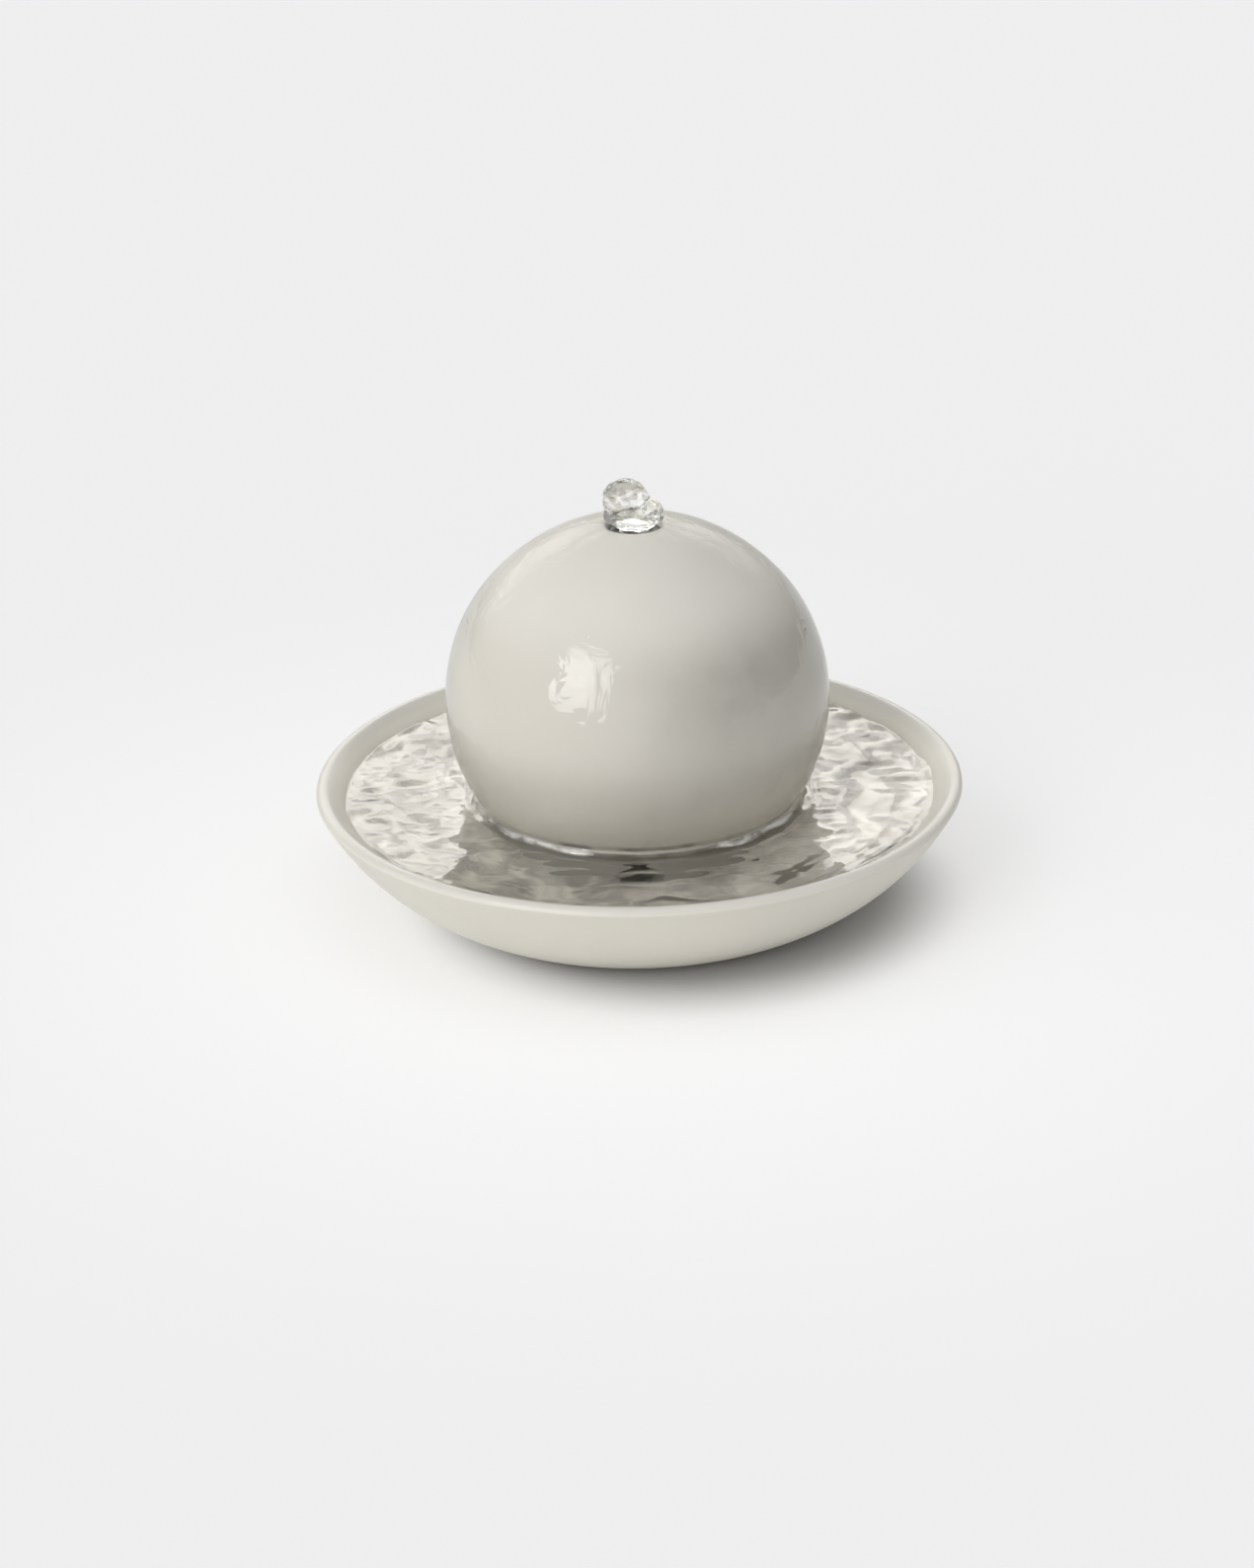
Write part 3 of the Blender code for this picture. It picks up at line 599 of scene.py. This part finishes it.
def make_basin():
    """The basin, thrown by hand: its wall wanders a little inside the true round."""
    s = sizes()
    vertices, faces = turned(basin_profile(), BASIN_SIDES, closed=False)
    angle = np.arctan2(vertices[:, 1], vertices[:, 0])
    height = vertices[:, 2]
    sway = 0.5 + 0.25 * (np.sin(3 * angle + 0.6) + np.sin(5 * angle + 2.1 + 20 * height))
    above = np.clip((height - s.floor_height) / (s.basin_top - s.floor_height), 0, 1)
    shrink = 1 - 0.0028 * sway * above
    vertices[:, :2] *= shrink[:, None]
    dip = 0.25 + 0.25 * (np.sin(2 * angle + 1.0) + 0.6 * np.sin(7 * angle))
    vertices[:, 2] -= 0.0005 * dip * above**3
    paint = basin_glaze()
    return add_piece("basin_ceramic", vertices, faces, paint, "basin", ["basin"])


def ball_side(inset, start, stop, steps):
    """Points on the ball's side between two angles above its middle."""
    s = sizes()
    angles = np.linspace(start, stop, steps + 1)
    upright = np.where(angles > 0, s.ball_crown, s.ball_radius) - inset
    radius = (s.ball_radius - inset) * np.cos(angles)
    return [tuple(p) for p in np.stack([radius, s.ball_centre + upright * np.sin(angles)], -1)]


def ball_angle(radius, inset=0.0):
    """The angle above or below the ball's middle at which its side is this far from the axis."""
    return math.acos(radius / (sizes().ball_radius - inset))


def ball_radius_at(height):
    """The ball's outer radius at a height below its middle."""
    s = sizes()
    return math.sqrt(s.ball_radius**2 - (s.ball_centre - height) ** 2)


def into_hole(top, radius, drop, steps):
    """From the top of the ball's side, over the edge of the hole and down this far into it."""
    crest = (sizes().hole_radius + 0.0004, top[1] + 0.0006)
    return bezier([top, crest, (radius, top[1] - drop)], steps)


def ball_profile():
    """The ball's section: the collar's foot, the outside, the hole's edge and the inside."""
    s = sizes()
    bottom, rounding = BALL_LOW[2], 0.0008
    outer = ball_side(0.0, -ball_angle(s.collar_outer), ball_angle(s.hole_edge), 150)
    edge = into_hole(outer[-1], s.hole_radius, 0.0030, 12)
    high = ball_angle(s.hole_radius, s.ball_wall)
    low = -ball_angle(s.collar_inner, s.ball_wall)
    inner = ball_side(s.ball_wall, high, low, 70)
    foot = [(s.collar_inner, bottom + rounding)]
    corner = (s.collar_inner, bottom)
    foot += bezier([foot[0], corner, (s.collar_inner + rounding, bottom)], 3)[1:]
    foot += [(s.collar_outer - rounding, bottom)]
    corner = (s.collar_outer, bottom)
    foot += bezier([foot[-1], corner, (s.collar_outer, bottom + rounding)], 3)[1:]
    inside_collar = refined([inner[-1], foot[0]], 0.0012)[1:-1]
    outside_collar = refined([foot[-1], outer[0]], 0.0012)[1:-1]
    return foot + outside_collar + outer + edge[1:] + inner + inside_collar


def make_ball():
    """The ball, with four inlet arches drawn up into its collar's edge."""
    s = sizes()
    vertices, faces = turned(ball_profile(), BALL_SIDES)
    angle = np.arctan2(vertices[:, 1], vertices[:, 0])
    quarter = np.mod(angle + math.pi / 4, math.pi / 2) - math.pi / 4
    across = np.hypot(vertices[:, 0], vertices[:, 1]) * np.sin(quarter)
    share = np.clip(1 - (across / (s.arch_width / 2)) ** 2, 0, None)
    lifted = s.arch_height * np.sqrt(share)
    depth = np.clip((s.collar_top - vertices[:, 2]) / (s.collar_top - BALL_LOW[2]), 0, 1)
    vertices[:, 2] += lifted * depth
    slant = vertices[:, 2] + 0.7 * vertices[:, 1]
    sway = 0.5 + 0.5 * plane_waves(vertices[:, 0], slant, 0.05, 0.16, 14, 5) / 2
    vertices[:, :2] *= (1 - 0.0022 * np.clip(sway, 0, 1))[:, None]
    paint = ball_glaze()
    return add_piece("ball_ceramic", vertices, faces, paint, "ball", ["dome"])


def scallops(angle):
    """How full the bead around the ball is: it swells and shrinks along its length, about 1."""
    x, y = ball_radius_at(sizes().water_level) * np.array([np.cos(angle), np.sin(angle)])
    return np.clip(1 + 0.6 * plane_waves(x, y, 0.009, 0.030, 24, 21), 0.25, 2.3)


def pool_heights(x, y):
    """How far the surface stands above the still level at each point."""
    s = sizes()
    radius, angle = np.hypot(x, y), np.arctan2(y, x)
    out = radius - ball_radius_at(s.water_level)
    wander = plane_waves(x, y, 0.025, 0.08, 16, 3)
    strength = 1.0 + 0.5 * plane_waves(x, y, 0.03, 0.09, 12, 4)
    phase = TURN * out / s.ripple_length + 1.5 * wander + 0.5 * np.sin(3 * angle)
    crest = (1 - np.abs(np.sin(phase / 2))) ** 1.5 - 0.34
    calm = np.clip(out / 0.006, 0, 1) * np.exp(-np.clip(out, 0, None) / 0.06)
    ring = s.ripple_height * crest * calm * strength
    chop = 0.00026 * plane_waves(x, y, 0.014, 0.040, 60, 11)
    chop += 0.00004 * plane_waves(x, y, 0.006, 0.013, 60, 12)
    chop += 0.00006 * plane_waves(0.45 * x, y, 0.008, 0.016, 50, 14)
    front = np.clip(-np.sin(angle), 0, 1) * np.exp(-(((out - 0.018) / 0.011) ** 2))
    chop += 0.00030 * front * plane_waves(0.3 * x, y, 0.007, 0.011, 40, 15)
    climb = 0.4 * s.meniscus * scallops(angle) * np.exp(-((np.clip(out, 0, None) / 0.0034) ** 2))
    trough = -0.0005 * strength * np.exp(-(((out - 0.0062) / 0.0024) ** 2))
    shore = POOL_HIGH[0] - radius
    uneven = 1 + 0.6 * plane_waves(x, y, 0.02, 0.06, 12, 22)
    lap = 0.0006 * uneven * np.exp(-np.abs(shore) / 0.003)
    return np.where(radius > s.collar_outer, ring + chop + climb + trough + lap, 0.0)


def make_pool():
    """The basin's water: a rippled top, and sides that lie just under the ceramic's surface."""
    s = sizes()
    sunk = 0.0005
    reach, ball = POOL_HIGH[0] + 0.003, ball_radius_at(s.water_level)
    open_water = np.linspace(reach, ball + 0.011, 84)
    along_ball = np.linspace(ball + 0.0107, ball - 0.004, 56)
    under_ball = np.linspace(ball - 0.008, 0.0, 12)
    top = [(radius, s.water_level) for radius in [*open_water, *along_ball, *under_ball]]
    slope = sunk * 0.7
    wet_wall = [point for point in basin_inner_wall(40) if point[1] < s.water_level - 0.002]
    wall = [(radius + slope, height - slope) for radius, height in wet_wall]
    profile = [(0.0, s.floor_height - sunk)] + wall[::-1] + top
    vertices, faces = turned(profile, POOL_SIDES, closed=False)
    surface = vertices[:, 2] > s.water_level - 1e-6
    x, y = vertices[surface, 0], vertices[surface, 1]
    vertices[surface, 2] += pool_heights(x, y)
    paint = pool_water()
    return add_piece("pool_surface", vertices, faces, paint, "basin", ["water_pool"])


def vertex_values(mesh, name):
    """A value of three numbers for each of a mesh's vertices."""
    values = np.empty(len(mesh.vertices) * 3)
    mesh.vertices.foreach_get(name, values)
    return values.reshape(-1, 3)


def make_spring():
    """The spring on the crown: soft lobes that have run together, over a neck in the hole."""
    rest = RING_HIGH[2] + 0.0004
    shape = bmesh.new()
    lobes = [  # Centre and radii of each.
        ((-0.0030, 0.0, 0.1627), (0.0090, 0.0080, 0.0088)),
        ((0.0040, -0.0012, 0.1584), (0.0076, 0.0070, 0.0060)),
        ((-0.0066, 0.0, 0.1574), (0.0052, 0.0060, 0.0046)),
        ((0.0, 0.0, 0.1560), (0.0112, 0.0104, 0.0030)),
        ((0.0, 0.0, 0.1545), (0.0088, 0.0088, 0.0034)),
    ]
    for centre, radii in lobes:
        matrix = Matrix.LocRotScale(Vector(centre), None, Vector(radii))
        bmesh.ops.create_icosphere(shape, subdivisions=4, radius=1.0, matrix=matrix)
    mesh = bpy.data.meshes.new("spring_lobes")
    shape.to_mesh(mesh)
    shape.free()
    lump = bpy.data.objects.new("spring_lobes", mesh)
    bpy.context.scene.collection.objects.link(lump)
    remesh = lump.modifiers.new("blend", "REMESH")
    remesh.mode = "VOXEL"
    remesh.voxel_size = 0.00042
    smooth = lump.modifiers.new("smooth", "SMOOTH")
    smooth.factor = 0.6
    smooth.iterations = 14
    graph = bpy.context.evaluated_depsgraph_get()
    blended = bpy.data.meshes.new_from_object(lump.evaluated_get(graph))
    bpy.data.objects.remove(lump, do_unlink=True)
    points, normals = vertex_values(blended, "co"), vertex_values(blended, "normal")
    across = points[:, 0] + 0.6 * points[:, 1]
    upward = points[:, 2] - 0.4 * points[:, 1]
    folds = plane_waves(across, upward, 0.003, 0.009, 24, 8)
    points += 0.00024 * folds[:, None] * normals
    points[:, 2] = np.clip(points[:, 2], rest, SPRING_HIGH[2])
    blended.vertices.foreach_set("co", points.reshape(-1))
    blended.update()
    paint = spring_water()
    return finish_piece(
        "spring_water", blended, paint, "ball", ["water_bubble"], sharp=180
    )


def make_film():
    """The film that runs from the spring down to a bead where it meets the pool."""
    s = sizes()
    stop = -math.asin((s.ball_centre - s.water_level - s.meniscus) / s.ball_radius)
    side = ball_side(-s.film, stop, ball_angle(s.hole_edge), 150)
    edge = into_hole(side[-1], s.hole_radius - 0.0003, 0.0012, 8)
    foot = (ball_radius_at(s.water_level) + 0.0030, s.water_level - 0.0004)
    belly = [(foot[0] - 0.0004, foot[1] + 0.0016), (side[0][0] + 0.0002, side[0][1] - 0.0014)]
    bead = bezier([foot, *belly, side[0]], 14)
    vertices, faces = turned(bead[:-1] + side + edge[1:], FILM_SIDES, closed=False)
    angle = np.arctan2(vertices[:, 1], vertices[:, 0])
    around = angle * 0.06
    runs = plane_waves(around, 0.25 * vertices[:, 2], 0.010, 0.035, 30, 31)
    rings = plane_waves(0.3 * around, vertices[:, 2], 0.012, 0.030, 20, 33)
    low = np.clip((s.ball_centre - vertices[:, 2]) / (s.ball_centre - s.water_level), 0, 1)
    relief = 0.00012 * (0.5 + low) * runs + 0.00008 * (0.4 + low) * rings
    outward = vertices - np.array([0.0, 0.0, s.ball_centre])
    outward /= np.linalg.norm(outward, axis=1)[:, None]
    vertices += outward * np.clip(relief, -0.5 * s.film, None)[:, None]
    swell = np.clip((s.water_level + s.meniscus - vertices[:, 2]) / s.meniscus, 0, 1)
    full = (scallops(angle) - 1) * swell
    vertices[:, :2] *= (1 + 0.0014 * full / 0.06)[:, None]
    vertices[:, 2] += 0.8 * s.meniscus * full * (1 - swell) * 2
    return add_piece("ball_film", vertices, faces, water_film(), "ball")


def make_outlet_ring():
    """The silicone ring in the crown's hole, with a rounded lip."""
    inner, outer = TUBE_HIGH[0] + 0.0003, sizes().hole_radius - 0.0003
    low, high, flange = RING_LOW[2], RING_HIGH[2], RING_HIGH[0]
    lip = bezier([(outer, high - 0.001), (outer, high), (outer - 0.001, high)], 5)
    mouth = bezier([(inner + 0.0012, high), (inner, high), (inner, high - 0.0012)], 5)
    profile = [(inner, low), (flange - 0.0006, low), (flange, low + 0.0006), (flange, low + 0.0016)]
    profile += [(outer, low + 0.0018)] + lip + mouth
    vertices, faces = turned(profile, 96)
    paint = silicone("dark_silicone", tuple(colours().dark_silicone))
    replaced = ["outlet_grommet"]
    return add_piece("outlet_ring", vertices, faces, paint, "ball", replaced)


def make_riser():
    """The clear hose from the pump up to the crown."""
    outer, inner = TUBE_HIGH[0], TUBE_HIGH[0] - 0.0014
    low, high = TUBE_LOW[2], TUBE_HIGH[2]
    chamfer = 0.0003
    outside = [(inner, low), (outer, low), (outer, high - chamfer), (outer - chamfer, high)]
    profile = refined([*outside, (inner, high)], 0.01)
    profile += refined([(inner, high), (inner, low)], 0.01)[1:-1]
    vertices, faces = turned(profile, 72)
    paint = clear_vinyl()
    return add_piece("riser_hose", vertices, faces, paint, "basin", ["riser_tube"])


def repaint(material, *nodes):
    """Gives carried-over nodes of the frame their finish."""
    for name in nodes:
        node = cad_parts[name]
        if not node.material_slots:
            node.data.materials.append(material)
        for slot in node.material_slots:
            slot.material = material


# Stage.


def add_camera():
    """Looks down at the fountain from the front, through a long lens."""
    distance, elevation, roll = 1.8007, math.radians(24.08), math.radians(1.18)
    aim_height = 0.020
    camera = bpy.data.cameras.new("camera")
    camera.sensor_width = 36.0
    camera.lens = 104.5
    camera.shift_x = -0.0086
    camera.shift_y = 0.0362
    viewer = bpy.data.objects.new("camera", camera)
    height = aim_height + distance * math.sin(elevation)
    place = Vector((0.0, -distance * math.cos(elevation), height))
    turn = Matrix.Rotation(math.pi / 2 - elevation, 4, "X") @ Matrix.Rotation(-roll, 4, "Z")
    viewer.matrix_world = Matrix.Translation(place) @ turn
    bpy.context.scene.collection.objects.link(viewer)
    bpy.context.scene.camera = viewer


def bearing(turn, elevation):
    """A direction: its turn from the front towards the right, and its height, in degrees."""
    turn, elevation = math.radians(turn), math.radians(elevation)
    level = math.cos(elevation)
    return (level * math.sin(turn), -level * math.cos(turn), math.sin(elevation))


def add_studio():
    """Soft light: a softbox at the front left, and wide glows to the left, in front and overhead.

    An uneven panel behind shows only in what is shiny, so that it throws no light on the floor.
    """
    world = bpy.data.worlds.new("studio")
    world.use_nodes = True
    bpy.context.scene.world = world
    bpy.context.scene.view_settings.view_transform = "Standard"
    sky = Graph(world.node_tree)
    gaze = sky.add("ShaderNodeTexCoord", output="Generated")

    def towards(turn, elevation):
        settings, sockets = {"operation": "DOT_PRODUCT"}, {0: gaze, 1: bearing(turn, elevation)}
        return sky.add("ShaderNodeVectorMath", settings, sockets, output="Value")

    def glow(turn, elevation):
        facing = towards(turn, elevation)
        return facing.maths("MAXIMUM", facing, 0.0) ** 4

    def inside(offset, half):
        """1 nearer than this to a plane through the middle, with a soft edge."""
        return 1.0 - sky.between(offset.maths("ABSOLUTE", offset), half - 0.02, half + 0.02)

    softbox = inside(towards(53, 0), 0.235) * inside(towards(-37, 121), 0.30)
    softbox *= towards(-37, 31).over(0.0)
    height = sky.add("ShaderNodeSeparateXYZ", None, {"Vector": gaze}, output="Z")
    band = sky.between(height, 0.10, 0.36) * (1.0 - sky.between(height, 0.44, 0.78))
    clouds = {"Vector": gaze, "Scale": 7.0, "Detail": 2.0, "Distortion": 0.6}
    uneven = sky.between(sky.add("ShaderNodeTexNoise", None, clouds), 0.32, 0.62)
    panel = band * sky.between(towards(186, 0), 0.60, 0.90) * (0.55 + 0.75 * uneven)
    shiny = sky.add("ShaderNodeLightPath", output="Is Glossy Ray")
    shiny *= 1.0 - 0.45 * sky.add("ShaderNodeLightPath", output="Is Transmission Ray")
    wide = 0.88 * glow(-78, 8) + 0.52 * glow(-22, 5) + 0.42 * glow(8, 3)
    wide += 0.45 * glow(0, 90) + 0.40 * glow(90, 65) + 0.3 * glow(-120, 70)
    background = sky.nodes["Background"]
    white, warm_white = (1.0, 1.0, 1.0), (1.0, 0.975, 0.91)
    sky.set(background.inputs["Color"], sky.mixed(shiny * panel, white, warm_white))
    light = 0.17 + wide + 2.4 * softbox
    seen, backdrop = sky.add("ShaderNodeLightPath", output="Is Camera Ray"), 0.885
    light = light * (1.0 - seen) + backdrop * seen
    core = sky.between(towards(-44, 31), 0.972, 0.990)
    gleam = 4.7 * panel + softbox * (5.0 + 4.0 * core)
    sky.set(background.inputs["Strength"], light + shiny * gleam)


def add_floor():
    """A wide pale floor. It glows a little away from the fountain, which keeps its shadow tight."""
    half = 6.0
    mesh = bpy.data.meshes.new("floor")
    corners = [(-half, -half, 0), (half, -half, 0), (half, half, 0), (-half, half, 0)]
    mesh.from_pydata(corners, [], [(0, 1, 2, 3)])
    paint = Finish("pale_floor", Roughness=0.9, Specular_IOR_Level=0.0, Emission_Strength=1.0)
    base = tuple(colours().floor)
    paint.colour(paint.mixed(paint.noise(3.0), shaded(base, 0.998), base))
    spot = {0: paint.place(), 1: (0.018, -0.010, 0.0)}
    away = paint.add("ShaderNodeVectorMath", {"operation": "DISTANCE"}, spot, output="Value")
    near, far = paint.between(away, 0.074, 0.116), paint.between(away, 0.13, 0.42)
    lift = paint.mixed(far, (0.385, 0.385, 0.385), (0.335, 0.335, 0.335))
    paint.set(paint.shader.inputs["Emission Color"], paint.mixed(near, (0.0, 0.0, 0.0), lift))
    mesh.materials.append(paint.material)
    floor = bpy.data.objects.new("floor", mesh)
    bpy.context.scene.collection.objects.link(floor)


class FOUNTAIN_OT_stage(bpy.types.Operator):
    """Make the floor, the soft studio light and the camera"""

    bl_idname = "fountain.stage"
    bl_label = "Stage"

    def execute(self, context):
        add_camera()
        add_studio()
        add_floor()
        return {"FINISHED"}


class FOUNTAIN_OT_basin(bpy.types.Operator):
    """Make the basin"""

    bl_idname = "fountain.basin"
    bl_label = "Basin"

    def execute(self, context):
        make_basin()
        return {"FINISHED"}


class FOUNTAIN_OT_ball(bpy.types.Operator):
    """Make the ceramic ball with its collar"""

    bl_idname = "fountain.ball"
    bl_label = "Ball"

    def execute(self, context):
        make_ball()
        return {"FINISHED"}


class FOUNTAIN_OT_pool(bpy.types.Operator):
    """Make the water in the basin"""

    bl_idname = "fountain.pool"
    bl_label = "Pool"

    def execute(self, context):
        make_pool()
        return {"FINISHED"}


class FOUNTAIN_OT_spring(bpy.types.Operator):
    """Make the spring on the crown and the film that runs down from it"""

    bl_idname = "fountain.spring"
    bl_label = "Spring and film"

    def execute(self, context):
        make_spring()
        make_film()
        return {"FINISHED"}


class FOUNTAIN_OT_outlet(bpy.types.Operator):
    """Make the outlet ring in the crown and the riser hose"""

    bl_idname = "fountain.outlet"
    bl_label = "Outlet and riser"

    def execute(self, context):
        make_outlet_ring()
        make_riser()
        return {"FINISHED"}


class FOUNTAIN_OT_pump(bpy.types.Operator):
    """Give the pump's parts and the feet their finishes"""

    bl_idname = "fountain.pump"
    bl_label = "Pump and feet"

    def execute(self, context):
        black = moulded_plastic("black_plastic", (0.022, 0.023, 0.025))
        repaint(black, "pump_housing", "chamber_cover", "strainer_cover")
        white = moulded_plastic("white_plastic", (0.66, 0.66, 0.63), 0.34)
        repaint(white, "impeller", "flow_dial")
        rubber = silicone("pump_rubber", (0.030, 0.030, 0.031), 0.5)
        repaint(rubber, "chamber_seal", "cable_gland", "front_bush", "rear_bush")
        repaint(rubber, *(f"suction_cup_{number}" for number in range(1, 5)))
        soft = silicone("clear_silicone", (0.60, 0.60, 0.58))
        repaint(soft, *(f"foot_pad_{number}" for number in range(1, 5)))
        repaint(laminated_steel(), "stator_core")
        repaint(copper_wire(), "coil")
        repaint(cast_resin(), "potting_plug")
        repaint(ferrite(), "rotor_magnet")
        repaint(ground_steel(), "impeller_shaft")
        repaint(open_foam(), "filter_sponge")
        return {"FINISHED"}


MAKERS = (
    FOUNTAIN_OT_stage,
    FOUNTAIN_OT_basin,
    FOUNTAIN_OT_ball,
    FOUNTAIN_OT_pool,
    FOUNTAIN_OT_spring,
    FOUNTAIN_OT_outlet,
    FOUNTAIN_OT_pump,
)


class FOUNTAIN_PT_panel(bpy.types.Panel):
    """The fountain's sizes, colours and makers"""

    bl_idname = "FOUNTAIN_PT_panel"
    bl_label = "Fountain"
    bl_space_type = "VIEW_3D"
    bl_region_type = "UI"
    bl_category = "Fountain"

    def draw(self, context):
        layout = self.layout
        for maker in MAKERS:
            layout.operator(maker.bl_idname)
        for group in (context.scene.fountain_sizes, context.scene.fountain_colours):
            column = layout.column()
            for name in group.__annotations__:
                column.prop(group, name)


CLASSES = (FountainSizes, FountainColours, *MAKERS, FOUNTAIN_PT_panel)


def register():
    for cls in CLASSES:
        bpy.utils.register_class(cls)
    bpy.types.Scene.fountain_sizes = PointerProperty(type=FountainSizes)
    bpy.types.Scene.fountain_colours = PointerProperty(type=FountainColours)


def unregister():
    del bpy.types.Scene.fountain_colours
    del bpy.types.Scene.fountain_sizes
    for cls in reversed(CLASSES):
        bpy.utils.unregister_class(cls)


def main():
    register()
    for maker in MAKERS:
        group, operator = maker.bl_idname.split(".")
        getattr(getattr(bpy.ops, group), operator)()


if __name__ == "__main__":
    main()
